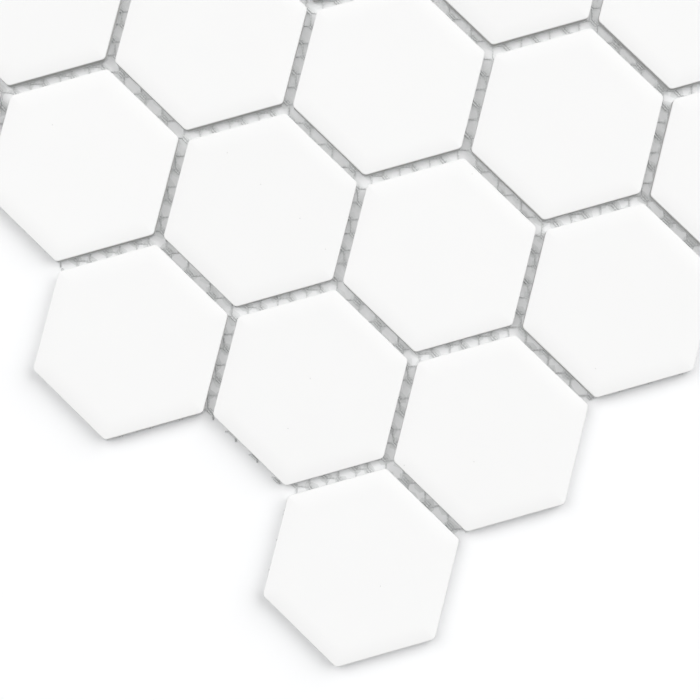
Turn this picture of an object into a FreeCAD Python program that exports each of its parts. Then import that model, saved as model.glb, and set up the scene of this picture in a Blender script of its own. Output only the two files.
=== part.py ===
import FreeCAD
import Part
import Sketcher
import math
import os

# Hexagon floor tiles on a mounting net: one sheet of a floor mosaic.
# Rows of equal six-sided tiles run along X, every second row is set over by half a pitch,
# and a thin net bonded to the tiles' backs holds them at an even joint.
# Millimetres, Z up. The origin is the middle of the sheet, on the floor that it lies on.

DRIVING_SIZES = [
    ("tile_width", 51.0, "face of a tile, across its flats"),
    ("joint_width", 3.0, "open joint between two tiles"),
    ("tile_thickness", 3.2, "face to back"),
    ("corner_radius", 1.6, "upright corners of a tile"),
    ("rim_bevel", 0.15, "eased rim between face and wall"),
    ("back_border", 4.0, "flat border round the keyed back"),
    ("groove_width", 4.0, "keying groove in the back"),
    ("groove_depth", 0.4, "keying groove in the back"),
    ("groove_pitch", 8.0, "groove to groove"),
    ("groove_pairs", 2, "grooves on each side of the middle one"),
    ("net_thickness", 0.4, "yarns with their adhesive"),
    ("tiles_per_row", 6, "tiles side by side along X"),
    ("row_count", 6, "rows along Y"),
]

SQRT3 = math.sqrt(3.0)

doc = FreeCAD.newDocument("hexagon_mosaic_sheet")
sizes = doc.addObject("Spreadsheet::Sheet", "Sizes")
for line, (alias, value, meaning) in enumerate(DRIVING_SIZES, start=1):
    sizes.set(f"A{line}", alias)
    sizes.set(f"B{line}", str(value))
    sizes.set(f"C{line}", meaning)
    sizes.setAlias(f"B{line}", alias)
doc.recompute()

# The spacing of the tiles, as expressions that keep every placement bound to the sizes.
PITCH = "(Sizes.tile_width + Sizes.joint_width)"
ROW_PITCH = f"({PITCH} * sqrt(3) / 2)"


def new_sketch(body, name):
    """An empty sketch on the plane of the tile's back."""
    back_plane = [item for item in body.Origin.OriginFeatures if item.Role == "XY_Plane"][0]
    sketch = body.newObject("Sketcher::SketchObject", name)
    sketch.AttachmentSupport = (back_plane, [""])
    sketch.MapMode = "FlatFace"
    return sketch


def closed_outline(sketch, corners):
    """Straight sides from corner to corner, joined end to end; returns their numbers."""
    sides = []
    for number, corner in enumerate(corners):
        following_corner = corners[(number + 1) % len(corners)]
        sides.append(sketch.addGeometry(Part.LineSegment(corner, following_corner), False))
    for number, side in enumerate(sides):
        following_side = sides[(number + 1) % len(sides)]
        sketch.addConstraint(Sketcher.Constraint("Coincident", side, 2, following_side, 1))
    return sides


def bound_size(sketch, constraint, name, formula):
    """A dimension of a sketch that follows a formula in the driving sizes."""
    sketch.renameConstraint(sketch.addConstraint(constraint), name)
    sketch.setExpression(f"Constraints.{name}", formula)


def draw_hexagon(sketch):
    """A regular hexagon about the sketch's origin, with two of its flats facing along X."""
    width = sizes.tile_width
    corner_distance = width / SQRT3
    corners = []
    for number in range(6):
        angle = math.radians(60 * number - 30)
        corners.append(FreeCAD.Vector(math.cos(angle), math.sin(angle), 0) * corner_distance)
    sides = closed_outline(sketch, corners)
    circle = Part.Circle(FreeCAD.Vector(0, 0, 0), FreeCAD.Vector(0, 0, 1), corner_distance)
    guide = sketch.addGeometry(circle, True)
    sketch.addConstraint(Sketcher.Constraint("Coincident", guide, 3, -1, 1))
    for side in sides:
        sketch.addConstraint(Sketcher.Constraint("PointOnObject", side, 1, guide))
    for side in sides[1:]:
        sketch.addConstraint(Sketcher.Constraint("Equal", sides[0], side))
    sketch.addConstraint(Sketcher.Constraint("Vertical", sides[0]))
    across = Sketcher.Constraint("DistanceX", sides[3], 1, sides[0], 1, width)
    bound_size(sketch, across, "across_flats", "Sizes.tile_width")


def draw_groove(sketch, place):
    """One groove along Y; place counts the pitches from the middle, and the border sets its ends."""
    near_x = place * sizes.groove_pitch - sizes.groove_width / 2
    outer_x = abs(place) * sizes.groove_pitch + sizes.groove_width / 2
    border = sizes.back_border * 2 / SQRT3
    half_length = (sizes.tile_width - outer_x) / SQRT3 - border
    corners = [
        FreeCAD.Vector(near_x, -half_length, 0),
        FreeCAD.Vector(near_x + sizes.groove_width, -half_length, 0),
        FreeCAD.Vector(near_x + sizes.groove_width, half_length, 0),
        FreeCAD.Vector(near_x, half_length, 0),
    ]
    sides = closed_outline(sketch, corners)
    sketch.addConstraint(Sketcher.Constraint("Horizontal", sides[0]))
    sketch.addConstraint(Sketcher.Constraint("Horizontal", sides[2]))
    sketch.addConstraint(Sketcher.Constraint("Vertical", sides[1]))
    sketch.addConstraint(Sketcher.Constraint("Symmetric", sides[0], 1, sides[2], 2, -1))
    name = f"groove_{sides[0]}"
    offset = Sketcher.Constraint("DistanceX", -1, 1, sides[0], 1, near_x)
    bound_size(sketch, offset, f"{name}_offset", f"{place} * Sizes.groove_pitch - Sizes.groove_width / 2")
    width = Sketcher.Constraint("DistanceX", sides[0], 1, sides[0], 2, sizes.groove_width)
    bound_size(sketch, width, f"{name}_width", "Sizes.groove_width")
    length = Sketcher.Constraint("DistanceY", sides[1], 1, sides[1], 2, 2 * half_length)
    reach = f"{abs(place)} * Sizes.groove_pitch + Sizes.groove_width / 2"
    formula = f"2 * (Sizes.tile_width - ({reach}) - 2 * Sizes.back_border) / sqrt(3)"
    bound_size(sketch, length, f"{name}_length", formula)


def edges_where(feature, wanted):
    """The names of a feature's edges whose middle point and direction pass a test."""
    names = []
    for number, edge in enumerate(feature.Shape.Edges, start=1):
        if wanted(edge.CenterOfMass, edge.tangentAt(edge.FirstParameter)):
            names.append(f"Edge{number}")
    return names


def make_tile(row, column):
    """One dust-pressed tile: a hexagonal plate with soft corners, an eased rim and a keyed back."""
    label = f"tile_row{row + 1}_col{column + 1}"
    body = doc.addObject("PartDesign::Body", label)

    outline = new_sketch(body, f"{label}_outline")
    draw_hexagon(outline)
    plate = body.newObject("PartDesign::Pad", f"{label}_plate")
    plate.Profile = outline
    plate.setExpression("Length", "Sizes.tile_thickness")
    doc.recompute([outline, plate])

    corners = body.newObject("PartDesign::Fillet", f"{label}_corners")
    corners.Base = (plate, edges_where(plate, lambda middle, direction: abs(direction.z) > 0.99))
    corners.setExpression("Radius", "Sizes.corner_radius")
    doc.recompute([corners])

    rim = body.newObject("PartDesign::Chamfer", f"{label}_rim")
    just_below_face = 0.99 * sizes.tile_thickness
    rim.Base = (corners, edges_where(corners, lambda middle, direction: middle.z > just_below_face))
    rim.setExpression("Size", "Sizes.rim_bevel")
    doc.recompute([rim])

    keying = new_sketch(body, f"{label}_grooves")
    pairs = int(sizes.groove_pairs)
    for place in range(-pairs, pairs + 1):
        draw_groove(keying, place)
    grooves = body.newObject("PartDesign::Pocket", f"{label}_keying")
    grooves.Profile = keying
    grooves.Reversed = True
    grooves.setExpression("Length", "Sizes.groove_depth")
    body.Tip = grooves

    # Odd rows are set over by half a pitch, and each tile's back lies on the net.
    set_over = 0.5 * (row % 2)
    along = f"({column} + {set_over} - (Sizes.tiles_per_row - 0.5) / 2) * {PITCH}"
    across = f"({row} - (Sizes.row_count - 1) / 2) * {ROW_PITCH}"
    body.setExpression("Placement.Base.x", along)
    body.setExpression("Placement.Base.y", across)
    body.setExpression("Placement.Base.z", "Sizes.net_thickness")
    return body


def net_outline():
    """The corners of the net, cut flush with the outer tiles and straight across each joint."""
    pitch = sizes.tile_width + sizes.joint_width
    row_pitch = pitch * SQRT3 / 2
    tip = sizes.tile_width / SQRT3
    shoulder = tip / 2
    notch = tip - pitch / 2 / SQRT3
    inner_shoulder = shoulder + sizes.joint_width / SQRT3
    per_row = int(sizes.tiles_per_row)
    rows = int(sizes.row_count)
    first_x = -(per_row - 0.5) * pitch / 2
    first_y = -(rows - 1) * row_pitch / 2

    def row_start(row):
        return first_x + (row % 2) * pitch / 2

    def zigzag(row, side):
        """Tips and notches along a row's outer edge; side is -1 below the row and 1 above it."""
        y = first_y + row * row_pitch
        points = []
        for column in range(per_row):
            x = row_start(row) + column * pitch
            points.append((x, y + side * tip))
            if column < per_row - 1:
                points.append((x + pitch / 2, y + side * notch))
        return points

    def flats(side):
        """Both ends of each row's outer flat; side is -1 where the rows start and 1 where they end."""
        points = []
        for row in range(rows):
            y = first_y + row * row_pitch
            end_tile = row_start(row) + (per_row - 1) * pitch * (side > 0)
            x = end_tile + side * sizes.tile_width / 2
            stands_out = (row % 2 == 1) == (side > 0)
            low = shoulder if stands_out or row == 0 else inner_shoulder
            high = shoulder if stands_out or row == rows - 1 else inner_shoulder
            points.append((x, y - low))
            points.append((x, y + high))
        return points

    outline = zigzag(0, -1) + flats(1) + zigzag(rows - 1, 1)[::-1] + flats(-1)[::-1]
    return [FreeCAD.Vector(x, y, 0) for x, y in outline]


def make_net():
    """The mounting net, as the flat layer that its yarns and adhesive fill under the tiles."""
    corners = net_outline()
    boundary = Part.makePolygon(corners + [corners[0]])
    layer = doc.addObject("Part::Feature", "net_backing")
    layer.Shape = Part.Face(boundary).extrude(FreeCAD.Vector(0, 0, sizes.net_thickness))
    layer.Placement = FreeCAD.Placement()
    return layer


nodes = [make_net()]
for row in range(int(sizes.row_count)):
    for column in range(int(sizes.tiles_per_row)):
        nodes.append(make_tile(row, column))
doc.recompute()

for item in doc.Objects:
    if "Invalid" in item.State or "Error" in item.State:
        raise RuntimeError(f"{item.Label} could not be built: {item.State}")
for node in nodes:
    if node.Shape.isNull() or not node.Shape.isValid() or len(node.Shape.Solids) != 1:
        raise RuntimeError(f"{node.Label} is not one valid solid")

os.makedirs("parts", exist_ok=True)
for node in nodes:
    node.Shape.exportStep(os.path.join("parts", f"{node.Label}.step"))

tile_volume = nodes[-1].Shape.Volume / 1000
tile_count = len(nodes) - 1
whole = Part.makeCompound([node.Shape for node in nodes]).optimalBoundingBox(False, False)
print(f"{len(nodes)} pieces, {whole.XLength:.2f} x {whole.YLength:.2f} x {whole.ZLength:.2f} mm")
print(f"one tile {tile_volume:.3f} cm3, {tile_count} tiles {tile_volume * tile_count:.1f} cm3")
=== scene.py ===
import math

import bpy
import numpy as np
from mathutils import Euler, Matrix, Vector


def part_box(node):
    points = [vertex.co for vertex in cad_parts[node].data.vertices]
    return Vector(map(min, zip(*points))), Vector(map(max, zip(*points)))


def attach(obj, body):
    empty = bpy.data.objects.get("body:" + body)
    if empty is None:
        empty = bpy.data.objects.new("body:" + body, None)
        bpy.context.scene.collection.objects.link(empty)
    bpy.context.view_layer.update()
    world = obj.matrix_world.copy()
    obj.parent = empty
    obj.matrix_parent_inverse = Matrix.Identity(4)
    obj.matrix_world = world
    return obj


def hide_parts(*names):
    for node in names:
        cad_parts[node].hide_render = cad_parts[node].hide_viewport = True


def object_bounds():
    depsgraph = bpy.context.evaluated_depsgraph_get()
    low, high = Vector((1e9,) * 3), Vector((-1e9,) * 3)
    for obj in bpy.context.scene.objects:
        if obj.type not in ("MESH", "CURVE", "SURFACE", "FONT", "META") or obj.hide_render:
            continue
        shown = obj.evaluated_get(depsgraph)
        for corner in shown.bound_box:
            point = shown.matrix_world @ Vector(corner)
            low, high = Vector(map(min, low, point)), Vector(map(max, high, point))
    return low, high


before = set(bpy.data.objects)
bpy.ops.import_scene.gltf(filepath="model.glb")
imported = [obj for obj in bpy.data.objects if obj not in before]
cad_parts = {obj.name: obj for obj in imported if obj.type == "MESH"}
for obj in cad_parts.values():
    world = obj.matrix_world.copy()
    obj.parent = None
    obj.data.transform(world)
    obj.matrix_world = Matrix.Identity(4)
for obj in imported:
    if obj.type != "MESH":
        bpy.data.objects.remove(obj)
cad_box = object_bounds()
MM = 0.001


# The sheet's own measures: six-sided tiles in staggered rows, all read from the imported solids.
# Everything below is placed by them, so the looks follow a sheet of another size.

tile_nodes = {}
for name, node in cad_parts.items():
    if name.startswith("tile_row"):
        row, column = name.removeprefix("tile_row").split("_col")
        tile_nodes[int(row) - 1, int(column) - 1] = node

tile_low = {place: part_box(node.name)[0] for place, node in tile_nodes.items()}
tile_high = {place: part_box(node.name)[1] for place, node in tile_nodes.items()}
tile_middle = {place: (tile_low[place] + tile_high[place]) / 2 for place in tile_nodes}
first_tile = tile_middle[0, 0]
tile_width = tile_high[0, 0].x - tile_low[0, 0].x
tile_length = tile_high[0, 0].y - tile_low[0, 0].y
tile_back = tile_low[0, 0].z
tile_face = tile_high[0, 0].z
tile_pitch = (tile_middle[0, 1] - first_tile).x
row_pitch = (tile_middle[1, 0] - first_tile).y


# The mounting net: a warp-knitted mesh of soft grey-white yarn with six-sided holes, bonded
# to the tiles' backs. Each yarn wanders between two neighbouring columns of stitches, and in
# every stitch it runs beside, and once round, the yarn of the next column.

STITCH_SPACING = 2.648 * MM
COURSE_SPACING = 4.621 * MM
COLUMN_LEAN = math.radians(1.4)
COURSE_LEAN = math.radians(1.5)
FIRST_STITCH = Vector((5.9, 16.75)) * MM
STITCH_LENGTH = 2.3 * MM
STITCHED_WIDTH = 0.80 * MM
YARN_WIDTH = 0.50 * MM
YARN_HEIGHT = 0.22 * MM
KNIT_UNEVENNESS = 0.13 * MM
YARN_SIDES = 6
NET_BANDS = 4

across_columns = np.array([math.cos(COLUMN_LEAN), math.sin(COLUMN_LEAN)]) * STITCH_SPACING
along_courses = np.array([math.sin(COURSE_LEAN), math.cos(COURSE_LEAN)]) * COURSE_SPACING
stitch_origin = np.array(first_tile.xy + FIRST_STITCH)
sheet_low, sheet_high = cad_box
columns_from = math.floor((sheet_low.x - stitch_origin[0]) / STITCH_SPACING) - 3
columns_to = math.ceil((sheet_high.x - stitch_origin[0]) / STITCH_SPACING) + 3
courses_from = math.floor((sheet_low.y - stitch_origin[1]) / COURSE_SPACING) - 3
courses_to = math.ceil((sheet_high.y - stitch_origin[1]) / COURSE_SPACING) + 3
knit_chance = np.random.default_rng(11)
knit_shift = knit_chance.normal(
    0, KNIT_UNEVENNESS, (courses_to - courses_from + 2, columns_to - columns_from + 3, 2)
)


def stitch_middle(course, column):
    """Where the two yarns of one stitch lie side by side, with the knit's own unevenness."""
    place = stitch_origin + column * across_columns + course * along_courses
    return place + knit_shift[course - courses_from, column - columns_from]


def yarn_path(yarn):
    """One yarn from end to end: a stitch in its own column, a slant, and a stitch in the next."""
    stitch_way = along_courses / np.linalg.norm(along_courses)
    side_way = np.array([stitch_way[1], -stitch_way[0]])
    points = []
    for course in range(courses_from, courses_to + 1):
        in_own_column = (course + yarn) % 2 == 0
        column = yarn if in_own_column else yarn + 1
        side = 1 if in_own_column else -1
        middle = stitch_middle(course, column)
        for step in (-1.0, -0.65, 0.0, 0.65, 1.0):
            spread = max(0.0, 1.0 - step * step)
            width = YARN_WIDTH + (STITCHED_WIDTH - YARN_WIDTH) * min(1.0, 2 * spread)
            beside = side * 0.46 * width
            lift = side * 0.16 * YARN_HEIGHT * math.cos(math.pi * step)
            place = middle + stitch_way * step * STITCH_LENGTH / 2 + side_way * beside
            points.append((*place, lift, width))
    return np.array(points)


# The net is cut flush round the outer tiles. On some of the flats that stand back it was cut
# less closely, and the ends of single yarns stick out by up to a millimetre. A tile's sides
# are numbered from 0, which faces +X, round to 3, which faces -X; a loose flat is a row and a side.

CUT_MARGIN = 0.1 * MM
LOOSE_CUT_MARGIN = 0.6 * MM
LOOSE_CUT_SPREAD = 0.4 * MM
LOOSE_FLATS = {(1, 3), (2, 0), (5, 3)}

NEIGHBOUR_ANGLES = [math.radians(60 * number) for number in range(6)]
neighbour_ways = np.array([[math.cos(angle), math.sin(angle)] for angle in NEIGHBOUR_ANGLES])
places = sorted(tile_nodes)
middles = np.array([tile_middle[place].xy for place in places])
free_sides = np.zeros((len(places), 6), bool)
for number, middle in enumerate(middles):
    for side, way in enumerate(neighbour_ways):
        distance = np.linalg.norm(middles - (middle + way * tile_pitch), axis=1)
        free_sides[number, side] = distance.min() > tile_pitch / 4
loose_sides = np.array([
    [free_sides[number, side] and (row, side) in LOOSE_FLATS for side in range(6)]
    for number, (row, column) in enumerate(places)
])


def room_to_cut(points, loose_margin):
    """How far inside the cut line each point lies; negative outside it."""
    nearest = np.argmin(np.linalg.norm(points[:, None, :2] - middles[None], axis=2), axis=1)
    reach = np.einsum("ni,si->ns", points[:, :2] - middles[nearest], neighbour_ways)
    margin = np.where(loose_sides[nearest], loose_margin, CUT_MARGIN)
    room = np.where(free_sides[nearest], tile_width / 2 + margin - reach, 1.0)
    return room.min(axis=1)


def cut_yarn(points, loose_margin):
    """The stretches of a yarn that are left inside the cut line."""
    room = room_to_cut(points, loose_margin)
    stretches = []
    current = []
    for number in range(len(points)):
        if number and (room[number] > 0) != (room[number - 1] > 0):
            share = room[number - 1] / (room[number - 1] - room[number])
            crossing = points[number - 1] + share * (points[number] - points[number - 1])
            current.append(crossing)
            if room[number] <= 0:
                stretches.append(np.array(current))
                current = []
        if room[number] > 0:
            current.append(points[number])
    return [stretch for stretch in stretches if len(stretch) > 1]


def spin_yarn(points, rest_height):
    """A round-sided tube along one stretch: its corners, its faces and the yarn's own length."""
    points, width = points[:, :3], points[:, 3]
    way = np.gradient(points, axis=0)
    way /= np.linalg.norm(way, axis=1)[:, None]
    side = np.stack([way[:, 1], -way[:, 0], np.zeros(len(way))], axis=1)
    side /= np.linalg.norm(side, axis=1)[:, None]
    centre = points + np.array([0, 0, rest_height])
    corners = []
    for number in range(YARN_SIDES):
        angle = 2 * math.pi * (number + 0.5) / YARN_SIDES
        around = side * math.cos(angle) * width[:, None] / 2
        corners.append(centre + around + np.array([0, 0, math.sin(angle) * YARN_HEIGHT / 2]))
    corners = np.stack(corners, axis=1).reshape(-1, 3)
    length = np.concatenate([[0], np.cumsum(np.linalg.norm(np.diff(points, axis=0), axis=1))])
    rings = np.arange(len(points) - 1)[:, None] * YARN_SIDES
    here = np.arange(YARN_SIDES)[None]
    beyond = (here + 1) % YARN_SIDES
    walls = np.stack(
        [rings + here, rings + beyond, rings + YARN_SIDES + beyond, rings + YARN_SIDES + here], axis=2
    ).reshape(-1, 4)
    ends = [list(range(YARN_SIDES))[::-1], [len(corners) - YARN_SIDES + n for n in range(YARN_SIDES)]]
    return corners, walls.tolist() + ends, np.repeat(length, YARN_SIDES)


def knit_band(name, yarns):
    """One band of the net as a single mesh, with each corner's length along its yarn kept for the twist."""
    all_corners, all_faces, all_lengths = [], [], []
    count = 0
    for yarn in yarns:
        loose_margin = LOOSE_CUT_MARGIN + knit_chance.normal(0, LOOSE_CUT_SPREAD)
        for stretch in cut_yarn(yarn_path(yarn), loose_margin):
            corners, faces, lengths = spin_yarn(stretch, tile_back / 2)
            all_corners.append(corners)
            all_faces.extend([[corner + count for corner in face] for face in faces])
            all_lengths.append(lengths)
            count += len(corners)
    mesh = bpy.data.meshes.new(name)
    mesh.from_pydata(np.concatenate(all_corners).tolist(), [], all_faces)
    mesh.attributes.new("yarn_length", "FLOAT", "POINT").data.foreach_set(
        "value", np.concatenate(all_lengths).astype(np.float32)
    )
    mesh.polygons.foreach_set("use_smooth", [True] * len(mesh.polygons))
    band = bpy.data.objects.new(name, mesh)
    bpy.context.scene.collection.objects.link(band)
    return band


all_yarns = list(range(columns_from, columns_to + 1))
band_size = math.ceil(len(all_yarns) / NET_BANDS)
net_bands = []
for number in range(NET_BANDS):
    band = knit_band(f"net_yarns_{number + 1}", all_yarns[number * band_size:(number + 1) * band_size])
    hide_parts("net_backing")
    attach(band, "root")
    net_bands.append(band)


# Adhesive stiffens the net: round every stitch it has dried to a thin cloudy web, greyest where
# the yarns lie side by side and thin and pale towards its ragged rim. Its grey is partly painted shade in the
# joints.

WEB_SIDEWAYS = 1.8 * MM
WEB_ALONG = 2.3 * MM
WEB_RAGGEDNESS = 0.16
WEB_CORNERS = 9
WEB_TOP = 0.3 * tile_back
WEB_RIM = 0.05 * tile_back


def make_webs():
    """All webs as one mesh of low closed cones; each corner keeps how far in from the rim it lies."""
    middles = np.array([
        stitch_middle(course, column)
        for course in range(courses_from, courses_to + 1)
        for column in range(columns_from, columns_to + 1)
        if (course + column) % 2 == 0
    ])
    middles = middles[room_to_cut(middles, 0.0) > WEB_ALONG]
    stitch_way = along_courses / np.linalg.norm(along_courses)
    side_way = np.array([stitch_way[1], -stitch_way[0]])
    angles = 2 * math.pi * np.arange(WEB_CORNERS) / WEB_CORNERS
    rim = np.outer(np.cos(angles), side_way) * WEB_SIDEWAYS + np.outer(np.sin(angles), stitch_way) * WEB_ALONG
    ragged = 1 + knit_chance.normal(0, WEB_RAGGEDNESS, (len(middles), WEB_CORNERS, 1))
    corners = np.full((len(middles), WEB_CORNERS + 1, 3), WEB_RIM)
    corners[:, 0, :2] = middles
    corners[:, 0, 2] = WEB_TOP
    corners[:, 1:, :2] = middles[:, None] + rim[None] * ragged
    around = list(range(1, WEB_CORNERS + 1))
    cone = [[0, here, beyond] for here, beyond in zip(around, around[1:] + around[:1])] + [around[::-1]]
    faces = []
    for web in range(len(middles)):
        faces.extend([[corner + web * (WEB_CORNERS + 1) for corner in face] for face in cone])
    mesh = bpy.data.meshes.new("net_webs")
    mesh.from_pydata(corners.reshape(-1, 3).tolist(), [], faces)
    mesh.attributes.new("inwards", "FLOAT", "POINT").data.foreach_set(
        "value", np.tile([1.0] + [0.0] * WEB_CORNERS, len(middles)).astype(np.float32)
    )
    webs = bpy.data.objects.new("net_webs", mesh)
    bpy.context.scene.collection.objects.link(webs)
    return webs


net_webs = make_webs()
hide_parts("net_backing")
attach(net_webs, "root")


# The net's surfaces: fine noise for fibres and dried adhesive, over painted shade towards the sheet's
# rim and painted light towards its middle. The nodes for it are made by small functions, shared below.


def add_node(tree, kind, place, **settings):
    """A node of a material or group, with its own settings; place is its column and row on the desk."""
    made = tree.nodes.new(kind)
    made.location = (place[0] * 220, -place[1] * 180)
    for setting, value in settings.items():
        setattr(made, setting, value)
    return made


def new_material(name):
    """A material with an empty Principled surface, and its tree."""
    material = bpy.data.materials.new(name)
    material.use_nodes = True
    tree = material.node_tree
    surface = next(item for item in tree.nodes if item.type == "BSDF_PRINCIPLED")
    surface.location = (1100, 0)
    return material, tree, surface


def grain_group():
    """Fine grain of a matt surface: a tone about 1 and a height about 0, both from one noise."""
    group = bpy.data.node_groups.new("fine_grain", "ShaderNodeTree")
    face = group.interface
    face.new_socket("Vector", in_out="INPUT", socket_type="NodeSocketVector")
    face.new_socket("Grain Size", in_out="INPUT", socket_type="NodeSocketFloat")
    face.new_socket("Tone Spread", in_out="INPUT", socket_type="NodeSocketFloat")
    face.new_socket("Tone", in_out="OUTPUT", socket_type="NodeSocketFloat")
    face.new_socket("Height", in_out="OUTPUT", socket_type="NodeSocketFloat")
    entry = add_node(group, "NodeGroupInput", (0, 0))
    leave = add_node(group, "NodeGroupOutput", (5, 0))
    scale = add_node(group, "ShaderNodeMath", (1, 1), operation="DIVIDE")
    scale.inputs[0].default_value = 1.0
    noise = add_node(group, "ShaderNodeTexNoise", (2, 0))
    noise.inputs["Detail"].default_value = 3.0
    centred = add_node(group, "ShaderNodeMath", (3, 0), operation="SUBTRACT")
    centred.inputs[1].default_value = 0.5
    tone = add_node(group, "ShaderNodeMath", (4, 1), operation="MULTIPLY_ADD")
    tone.inputs[2].default_value = 1.0
    group.links.new(entry.outputs["Grain Size"], scale.inputs[1])
    group.links.new(entry.outputs["Vector"], noise.inputs["Vector"])
    group.links.new(scale.outputs[0], noise.inputs["Scale"])
    group.links.new(noise.outputs["Fac"], centred.inputs[0])
    group.links.new(centred.outputs[0], tone.inputs[0])
    group.links.new(entry.outputs["Tone Spread"], tone.inputs[1])
    group.links.new(tone.outputs[0], leave.inputs["Tone"])
    group.links.new(centred.outputs[0], leave.inputs["Height"])
    return group


fine_grain = grain_group()


def add_grain(tree, place, vector, size, spread):
    """One use of the grain, at its own grain size in metres and its own spread of tone."""
    grain = add_node(tree, "ShaderNodeGroup", place, node_tree=fine_grain)
    grain.inputs["Grain Size"].default_value = size
    grain.inputs["Tone Spread"].default_value = spread
    tree.links.new(vector, grain.inputs["Vector"])
    return grain


def toned_colour(tree, place, colour, *tones):
    """A colour that each tone, a value about 1, makes a little lighter or darker."""
    current = add_node(tree, "ShaderNodeRGB", place)
    current.outputs[0].default_value = (*colour, 1.0)
    out = current.outputs[0]
    for number, tone in enumerate(tones):
        scaled = add_node(tree, "ShaderNodeVectorMath", (place[0] + 1 + number, place[1]), operation="SCALE")
        tree.links.new(out, scaled.inputs[0])
        tree.links.new(tone, scaled.inputs["Scale"])
        out = scaled.outputs[0]
    return out


RIM_DEPTH = 25 * MM
MIDDLE_DEPTH = 100 * MM
RIM_PAINTED_SHADE = 0.92
MIDDLE_PAINTED_LIGHT = 1.06


def painted_rim_shade_group():
    """Painted shade and light: a tone that rises from the sheet's rim, where the net is painted darker, to
    its middle, where it is painted lighter.
    """
    group = bpy.data.node_groups.new("painted_rim_shade", "ShaderNodeTree")
    group.interface.new_socket("Vector", in_out="INPUT", socket_type="NodeSocketVector")
    group.interface.new_socket("Tone", in_out="OUTPUT", socket_type="NodeSocketFloat")
    entry = add_node(group, "NodeGroupInput", (0, 0))
    leave = add_node(group, "NodeGroupOutput", (6, 0))
    folded = add_node(group, "ShaderNodeVectorMath", (1, 0), operation="ABSOLUTE")
    inside = add_node(group, "ShaderNodeVectorMath", (2, 0), operation="SUBTRACT")
    inside.inputs[0].default_value = (sheet_high.x, sheet_high.y, 0.0)
    ways_in = add_node(group, "ShaderNodeSeparateXYZ", (3, 0))
    depth = add_node(group, "ShaderNodeMath", (4, 0), operation="MINIMUM")
    tone = add_node(group, "ShaderNodeMapRange", (5, 0))
    tone.inputs["From Min"].default_value = RIM_DEPTH
    tone.inputs["From Max"].default_value = MIDDLE_DEPTH
    tone.inputs["To Min"].default_value = RIM_PAINTED_SHADE
    tone.inputs["To Max"].default_value = MIDDLE_PAINTED_LIGHT
    group.links.new(entry.outputs["Vector"], folded.inputs[0])
    group.links.new(folded.outputs[0], inside.inputs[1])
    group.links.new(inside.outputs[0], ways_in.inputs[0])
    group.links.new(ways_in.outputs["X"], depth.inputs[0])
    group.links.new(ways_in.outputs["Y"], depth.inputs[1])
    group.links.new(depth.outputs[0], tone.inputs["Value"])
    group.links.new(tone.outputs[0], leave.inputs["Tone"])
    return group


painted_rim_shade = painted_rim_shade_group()

YARN_GREY = (0.76, 0.77, 0.77)
TWIST_LENGTH = 0.9 * MM


def yarn_material():
    """Soft multifilament yarn, greyed by its thin coat of adhesive, with a slow twist, and painted shade on
    its sides and towards the sheet's rim.
    """
    material, tree, surface = new_material("net_yarn")
    where = add_node(tree, "ShaderNodeTexCoord", (0, 0))
    grain = add_grain(tree, (1, 0), where.outputs["Object"], 0.9 * MM, 0.38)
    fibres = add_grain(tree, (1, 2), where.outputs["Object"], 0.12 * MM, 0.20)
    along = add_node(tree, "ShaderNodeAttribute", (0, 4), attribute_name="yarn_length")
    turns = add_node(tree, "ShaderNodeMath", (1, 4), operation="MULTIPLY")
    turns.inputs[1].default_value = 2 * math.pi / TWIST_LENGTH
    wave = add_node(tree, "ShaderNodeMath", (2, 4), operation="SINE")
    ply = add_node(tree, "ShaderNodeMath", (3, 4), operation="MULTIPLY_ADD")
    ply.inputs[1].default_value = 0.06
    ply.inputs[2].default_value = 1.0
    height = add_node(tree, "ShaderNodeMath", (3, 5), operation="MULTIPLY_ADD")
    height.inputs[1].default_value = 0.35
    bump = add_node(tree, "ShaderNodeBump", (4, 3))
    bump.inputs["Distance"].default_value = 0.05 * MM
    bump.inputs["Strength"].default_value = 0.6
    tree.links.new(along.outputs["Fac"], turns.inputs[0])
    tree.links.new(turns.outputs[0], wave.inputs[0])
    tree.links.new(wave.outputs[0], ply.inputs[0])
    tree.links.new(wave.outputs[0], height.inputs[0])
    tree.links.new(fibres.outputs["Height"], height.inputs[2])
    tree.links.new(height.outputs[0], bump.inputs["Height"])

    # Painted shade: the yarns are coloured greyer where their surface stands upright, at their sides, than on
    # their backs.
    geometry = add_node(tree, "ShaderNodeNewGeometry", (0, 6))
    slope = add_node(tree, "ShaderNodeSeparateXYZ", (1, 6))
    upright = add_node(tree, "ShaderNodeMath", (2, 6), operation="ABSOLUTE")
    painted_side_shade = add_node(tree, "ShaderNodeMapRange", (3, 6))
    painted_side_shade.inputs["From Min"].default_value = 0.35
    painted_side_shade.inputs["From Max"].default_value = 0.95
    painted_side_shade.inputs["To Min"].default_value = 0.68
    painted_side_shade.inputs["To Max"].default_value = 1.02
    tree.links.new(geometry.outputs["Normal"], slope.inputs[0])
    tree.links.new(slope.outputs["Z"], upright.inputs[0])
    tree.links.new(upright.outputs[0], painted_side_shade.inputs["Value"])

    # Painted shade near the sheet's rim and painted light in its middle.
    rim_shade_tone = add_node(tree, "ShaderNodeGroup", (3, 7), node_tree=painted_rim_shade)
    tree.links.new(where.outputs["Object"], rim_shade_tone.inputs["Vector"])
    colour = toned_colour(
        tree, (4, 0), YARN_GREY,
        grain.outputs["Tone"], fibres.outputs["Tone"], ply.outputs[0], painted_side_shade.outputs[0],
        rim_shade_tone.outputs["Tone"],
    )
    tree.links.new(colour, surface.inputs["Base Color"])
    tree.links.new(bump.outputs["Normal"], surface.inputs["Normal"])
    surface.inputs["Roughness"].default_value = 0.62
    return material


net_yarn = yarn_material()
for band in net_bands:
    band.data.materials.append(net_yarn)

# The webs' grey is partly painted shade: it darkens the joints as the shade between the tiles would.
WEB_GREY = (0.82, 0.83, 0.83)
WEB_PALE = (0.87, 0.88, 0.88)


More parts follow.
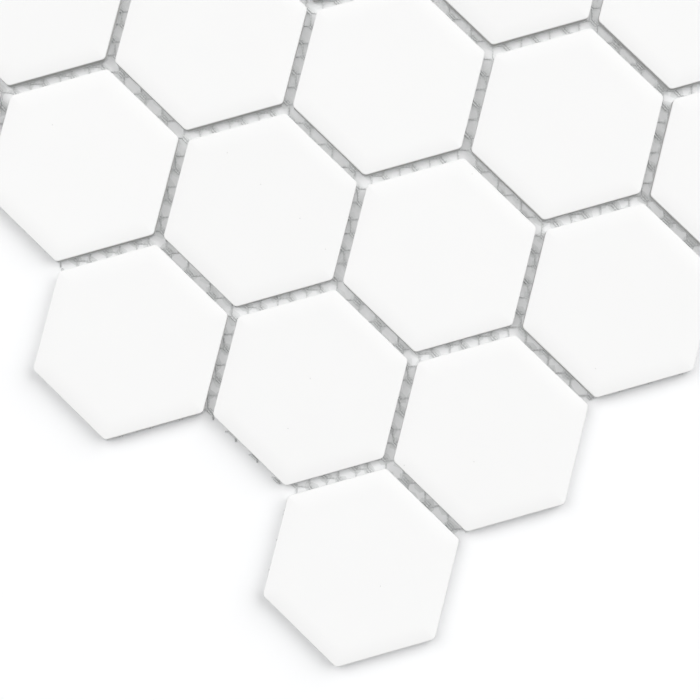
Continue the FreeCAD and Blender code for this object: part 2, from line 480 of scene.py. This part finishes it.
def web_material():
    """Dried adhesive: cloudy grey inside, thinning out to nearly the white of what lies below; its grey is
    partly painted shade in the joints.
    """
    material, tree, surface = new_material("net_web")
    where = add_node(tree, "ShaderNodeTexCoord", (0, 0))
    clouds = add_grain(tree, (1, 0), where.outputs["Object"], 0.8 * MM, 2.6)
    inwards = add_node(tree, "ShaderNodeAttribute", (0, 2), attribute_name="inwards")
    depth = add_node(tree, "ShaderNodeMapRange", (1, 2), interpolation_type="SMOOTHSTEP")
    depth.inputs["From Max"].default_value = 0.5
    cloudy = add_node(tree, "ShaderNodeMath", (2, 1), operation="MULTIPLY", use_clamp=True)
    thin = add_node(tree, "ShaderNodeRGB", (2, 3))
    thin.outputs[0].default_value = (*WEB_PALE, 1.0)
    thick = add_node(tree, "ShaderNodeRGB", (2, 4))
    thick.outputs[0].default_value = (*WEB_GREY, 1.0)
    colour = add_node(tree, "ShaderNodeMix", (3, 2), data_type="RGBA")
    tree.links.new(inwards.outputs["Fac"], depth.inputs["Value"])
    tree.links.new(depth.outputs[0], cloudy.inputs[0])
    tree.links.new(clouds.outputs["Tone"], cloudy.inputs[1])
    tree.links.new(cloudy.outputs[0], colour.inputs["Factor"])
    tree.links.new(thin.outputs[0], colour.inputs[6])
    tree.links.new(thick.outputs[0], colour.inputs[7])
    # Painted shade near the sheet's rim and painted light in its middle.
    rim_shade_tone = add_node(tree, "ShaderNodeGroup", (3, 4), node_tree=painted_rim_shade)
    toned = add_node(tree, "ShaderNodeVectorMath", (4, 2), operation="SCALE")
    tree.links.new(where.outputs["Object"], rim_shade_tone.inputs["Vector"])
    tree.links.new(colour.outputs[2], toned.inputs[0])
    tree.links.new(rim_shade_tone.outputs["Tone"], toned.inputs["Scale"])
    tree.links.new(toned.outputs[0], surface.inputs["Base Color"])
    surface.inputs["Roughness"].default_value = 0.5
    return material


net_webs.data.materials.append(web_material())


# The tiles: dust-pressed porcelain, fired to a matt white face with an eased rim. The walls
# and the keyed back are left as the bare body, which is greyer and drier, and the net's pale
# adhesive has crept a little way up the walls.

PORCELAIN_FACE = (0.917, 0.917, 0.914)
PORCELAIN_BODY = (0.57, 0.57, 0.56)
WALL_TOP = tile_face - 0.19 * MM
ADHESIVE_CREEP = 0.85 * MM
CUSHION_EDGE = 5.0 * MM
CUSHION_DROP = 0.33 * MM
SPECK_SPACING = 15 * MM
SPECK_RADIUS = 0.22 * MM
SPECK_SHARE = 0.12


def porcelain_material():
    """Matt white porcelain: the face is closed and even, the pressed body below it is drier."""
    material, tree, surface = new_material("porcelain")
    where = add_node(tree, "ShaderNodeTexCoord", (0, 0))
    split = add_node(tree, "ShaderNodeSeparateXYZ", (1, 6))
    tree.links.new(where.outputs["Object"], split.inputs[0])

    cloud = add_grain(tree, (1, 0), where.outputs["Object"], 22 * MM, 0.016)
    powder = add_grain(tree, (1, 2), where.outputs["Object"], 0.5 * MM, 0.012)
    ripple = add_grain(tree, (1, 4), where.outputs["Object"], 7 * MM, 0.0)
    batch = add_node(tree, "ShaderNodeObjectInfo", (0, 3))
    batch_tone = add_node(tree, "ShaderNodeMapRange", (1, 8))
    batch_tone.inputs["To Min"].default_value = 0.992
    batch_tone.inputs["To Max"].default_value = 1.004
    tree.links.new(batch.outputs["Random"], batch_tone.inputs["Value"])

    # The white face and its eased rim end where the bare wall begins.
    on_face = add_node(tree, "ShaderNodeMapRange", (2, 6))
    on_face.inputs["From Min"].default_value = WALL_TOP - 0.03 * MM
    on_face.inputs["From Max"].default_value = WALL_TOP + 0.03 * MM
    tree.links.new(split.outputs["Z"], on_face.inputs["Value"])

    # A pinhole here and there, where a grain of dust burnt out in the kiln. Each is dented by a bump, and
    # painted shade darkens it.
    cells = add_node(tree, "ShaderNodeTexVoronoi", (2, 8), voronoi_dimensions="2D")
    cells.inputs["Scale"].default_value = 1 / SPECK_SPACING
    tree.links.new(where.outputs["Object"], cells.inputs["Vector"])
    chosen = add_node(tree, "ShaderNodeSeparateColor", (3, 8))
    tree.links.new(cells.outputs["Color"], chosen.inputs[0])
    rare = add_node(tree, "ShaderNodeMath", (4, 8), operation="LESS_THAN")
    rare.inputs[1].default_value = SPECK_SHARE
    tree.links.new(chosen.outputs[0], rare.inputs[0])
    dot = add_node(tree, "ShaderNodeMapRange", (3, 9), interpolation_type="SMOOTHSTEP")
    dot.inputs["From Min"].default_value = SPECK_RADIUS / SPECK_SPACING
    dot.inputs["From Max"].default_value = 0.3 * SPECK_RADIUS / SPECK_SPACING
    tree.links.new(cells.outputs["Distance"], dot.inputs["Value"])
    speck = add_node(tree, "ShaderNodeMath", (5, 8), operation="MULTIPLY")
    tree.links.new(rare.outputs[0], speck.inputs[0])
    tree.links.new(dot.outputs[0], speck.inputs[1])
    speck_on_face = add_node(tree, "ShaderNodeMath", (6, 8), operation="MULTIPLY")
    tree.links.new(speck.outputs[0], speck_on_face.inputs[0])
    tree.links.new(on_face.outputs[0], speck_on_face.inputs[1])
    # Painted shade inside each pinhole.
    painted_pit_shade = add_node(tree, "ShaderNodeMath", (7, 8), operation="MULTIPLY_ADD")
    painted_pit_shade.inputs[1].default_value = -0.22
    painted_pit_shade.inputs[2].default_value = 1.0
    tree.links.new(speck_on_face.outputs[0], painted_pit_shade.inputs[0])

    # The bare body, and the adhesive on its lowest part.
    below_creep = add_node(tree, "ShaderNodeMapRange", (2, 4), interpolation_type="SMOOTHSTEP")
    below_creep.inputs["From Min"].default_value = tile_back + 1.2 * ADHESIVE_CREEP
    below_creep.inputs["From Max"].default_value = tile_back + 0.8 * ADHESIVE_CREEP
    tree.links.new(split.outputs["Z"], below_creep.inputs["Value"])
    bare_colour = toned_colour(tree, (2, 2), PORCELAIN_BODY, cloud.outputs["Tone"], powder.outputs["Tone"])
    wall_colour = add_node(tree, "ShaderNodeMix", (3, 3), data_type="RGBA")
    wall_colour.inputs[7].default_value = (*WEB_GREY, 1.0)
    tree.links.new(below_creep.outputs[0], wall_colour.inputs["Factor"])
    tree.links.new(bare_colour, wall_colour.inputs[6])
    face_colour = toned_colour(
        tree, (2, 0), PORCELAIN_FACE, cloud.outputs["Tone"], batch_tone.outputs[0], painted_pit_shade.outputs[0]
    )
    colour = add_node(tree, "ShaderNodeMix", (4, 1), data_type="RGBA")
    tree.links.new(on_face.outputs[0], colour.inputs["Factor"])
    tree.links.new(wall_colour.outputs[2], colour.inputs[6])
    tree.links.new(face_colour, colour.inputs[7])
    tree.links.new(colour.outputs[2], surface.inputs["Base Color"])

    dryness = add_node(tree, "ShaderNodeMapRange", (4, 4))
    dryness.inputs["To Min"].default_value = 0.78
    dryness.inputs["To Max"].default_value = 0.58
    tree.links.new(on_face.outputs[0], dryness.inputs["Value"])
    tree.links.new(dryness.outputs[0], surface.inputs["Roughness"])
    surface.inputs["Specular IOR Level"].default_value = 0.3

    # The die leaves the face slightly cushioned: it falls away over the last few millimetres
    # before the nearest flat, which is found by folding the six-sided outline onto one corner.
    centred = add_node(tree, "ShaderNodeVectorMath", (0, 11), operation="SUBTRACT")
    centred.inputs[1].default_value = (0.5, 0.5, 0.5)
    tree.links.new(where.outputs["Generated"], centred.inputs[0])
    true_size = add_node(tree, "ShaderNodeVectorMath", (1, 11), operation="MULTIPLY")
    true_size.inputs[1].default_value = (tile_width, tile_length, 0.0)
    tree.links.new(centred.outputs[0], true_size.inputs[0])
    folded = add_node(tree, "ShaderNodeVectorMath", (2, 11), operation="ABSOLUTE")
    tree.links.new(true_size.outputs[0], folded.inputs[0])
    to_side_flat = add_node(tree, "ShaderNodeSeparateXYZ", (3, 11))
    tree.links.new(folded.outputs[0], to_side_flat.inputs[0])
    to_slant_flat = add_node(tree, "ShaderNodeVectorMath", (3, 12), operation="DOT_PRODUCT")
    to_slant_flat.inputs[1].default_value = (0.5, math.sqrt(3) / 2, 0.0)
    tree.links.new(folded.outputs[0], to_slant_flat.inputs[0])
    outwards = add_node(tree, "ShaderNodeMath", (4, 11), operation="SMOOTH_MAX")
    outwards.inputs[2].default_value = 2 * MM
    tree.links.new(to_side_flat.outputs["X"], outwards.inputs[0])
    tree.links.new(to_slant_flat.outputs["Value"], outwards.inputs[1])
    near_edge = add_node(tree, "ShaderNodeMapRange", (5, 11))
    near_edge.inputs["From Min"].default_value = tile_width / 2 - CUSHION_EDGE
    near_edge.inputs["From Max"].default_value = tile_width / 2
    tree.links.new(outwards.outputs[0], near_edge.inputs["Value"])
    fall = add_node(tree, "ShaderNodeMath", (6, 11), operation="POWER")
    fall.inputs[1].default_value = 2.0
    tree.links.new(near_edge.outputs[0], fall.inputs[0])
    cushion = add_node(tree, "ShaderNodeBump", (7, 11), invert=True)
    cushion.inputs["Distance"].default_value = CUSHION_DROP
    tree.links.new(fall.outputs[0], cushion.inputs["Height"])

    waves = add_node(tree, "ShaderNodeBump", (4, 6))
    waves.inputs["Distance"].default_value = 0.05 * MM
    waves.inputs["Strength"].default_value = 0.5
    tree.links.new(ripple.outputs["Height"], waves.inputs["Height"])
    tree.links.new(cushion.outputs["Normal"], waves.inputs["Normal"])
    grains = add_node(tree, "ShaderNodeBump", (5, 6))
    grains.inputs["Distance"].default_value = 0.008 * MM
    grains.inputs["Strength"].default_value = 0.5
    tree.links.new(powder.outputs["Height"], grains.inputs["Height"])
    tree.links.new(waves.outputs["Normal"], grains.inputs["Normal"])
    pits = add_node(tree, "ShaderNodeBump", (6, 6), invert=True)
    pits.inputs["Distance"].default_value = 0.06 * MM
    tree.links.new(speck_on_face.outputs[0], pits.inputs["Height"])
    tree.links.new(grains.outputs["Normal"], pits.inputs["Normal"])
    tree.links.new(pits.outputs["Normal"], surface.inputs["Normal"])
    return material


porcelain = porcelain_material()
for node in tile_nodes.values():
    node.data.materials.clear()
    node.data.materials.append(porcelain)


# The floor that the sheet lies on: a smooth white board, level with the underside of the net.

FLOOR_WHITE = (0.972, 0.976, 0.982)
FLOOR_REACH = 4.0

floor_mesh = bpy.data.meshes.new("floor")
floor_mesh.from_pydata(
    [(x * FLOOR_REACH, y * FLOOR_REACH, 0) for x, y in ((-1, -1), (1, -1), (1, 1), (-1, 1))],
    [],
    [(0, 1, 2, 3)],
)
floor = bpy.data.objects.new("floor", floor_mesh)
bpy.context.scene.collection.objects.link(floor)
floor.location.z = sheet_low.z - 0.02 * MM
floor_material, floor_tree, floor_surface = new_material("floor_board")
floor_where = add_node(floor_tree, "ShaderNodeTexCoord", (0, 0))
floor_grain = add_grain(floor_tree, (1, 0), floor_where.outputs["Object"], 1.0 * MM, 0.01)
floor_colour = toned_colour(floor_tree, (2, 0), FLOOR_WHITE, floor_grain.outputs["Tone"])
floor_tree.links.new(floor_colour, floor_surface.inputs["Base Color"])
floor_surface.inputs["Roughness"].default_value = 0.7
floor_mesh.materials.append(floor_material)


# Light: a dim white room and two large soft lamps, to the left and to the right of the picture
# and both a little beyond its upper edge, as on a copy stand.

ROOM_LEVEL = 0.125

world = bpy.data.worlds.new("white_room")
bpy.context.scene.world = world
world.use_nodes = True
room = world.node_tree
shade = next(item for item in room.nodes if item.type == "BACKGROUND")
shade.inputs["Color"].default_value = (1.0, 1.0, 1.0, 1.0)
path = add_node(room, "ShaderNodeLightPath", (0, 0))
seen = add_node(room, "ShaderNodeMath", (1, 0), operation="MAXIMUM")
room.links.new(path.outputs["Is Camera Ray"], seen.inputs[0])
room.links.new(path.outputs["Is Glossy Ray"], seen.inputs[1])
seen_through = add_node(room, "ShaderNodeMath", (2, 0), operation="MAXIMUM")
room.links.new(seen.outputs[0], seen_through.inputs[0])
room.links.new(path.outputs["Is Transmission Ray"], seen_through.inputs[1])
level = add_node(room, "ShaderNodeMapRange", (3, 0))
level.inputs["To Min"].default_value = ROOM_LEVEL
level.inputs["To Max"].default_value = 1.0
room.links.new(seen_through.outputs[0], level.inputs["Value"])
room.links.new(level.outputs[0], shade.inputs["Strength"])


# The camera stands over the sheet's corner and looks almost straight down, turned so that
# the rows run up to the right in the picture.

CAMERA_OVER_FIRST_TILE = Vector((18.17, 21.71)) * MM
CAMERA_ABOVE_FACE = 503.9 * MM
CAMERA_TILT = math.radians(3.935)
CAMERA_ROLL = math.radians(0.034)
CAMERA_TURN = math.radians(-45.793)
SENSOR_WIDTH = 36.0
FOCAL_LENGTH = 89.36

camera_data = bpy.data.cameras.new("camera")
camera_data.sensor_width = SENSOR_WIDTH
camera_data.lens = FOCAL_LENGTH
camera = bpy.data.objects.new("camera", camera_data)
bpy.context.scene.collection.objects.link(camera)
camera.location = (*(first_tile.xy + CAMERA_OVER_FIRST_TILE), tile_face + CAMERA_ABOVE_FACE)
camera.rotation_euler = Euler((CAMERA_TILT, CAMERA_ROLL, CAMERA_TURN))
bpy.context.scene.camera = camera

SOFT_LAMPS = {
    "left_lamp": {"bearing": 155, "height": 55, "breadth": 66, "level": 0.470},
    "right_lamp": {"bearing": 29, "height": 38, "breadth": 62, "level": 0.420},
}

for name, lamp_at in SOFT_LAMPS.items():
    bearing = math.radians(lamp_at["bearing"]) + CAMERA_TURN
    height = math.radians(lamp_at["height"])
    towards_lamp = Vector((
        math.cos(bearing) * math.cos(height), math.sin(bearing) * math.cos(height), math.sin(height)
    ))
    lamp_data = bpy.data.lights.new(name, "SUN")
    lamp_data.energy = lamp_at["level"] * math.pi / math.sin(height)
    lamp_data.angle = math.radians(lamp_at["breadth"])
    lamp = bpy.data.objects.new(name, lamp_data)
    bpy.context.scene.collection.objects.link(lamp)
    lamp.rotation_euler = towards_lamp.to_track_quat("Z", "Y").to_euler()

bpy.context.scene.view_settings.view_transform = "Standard"
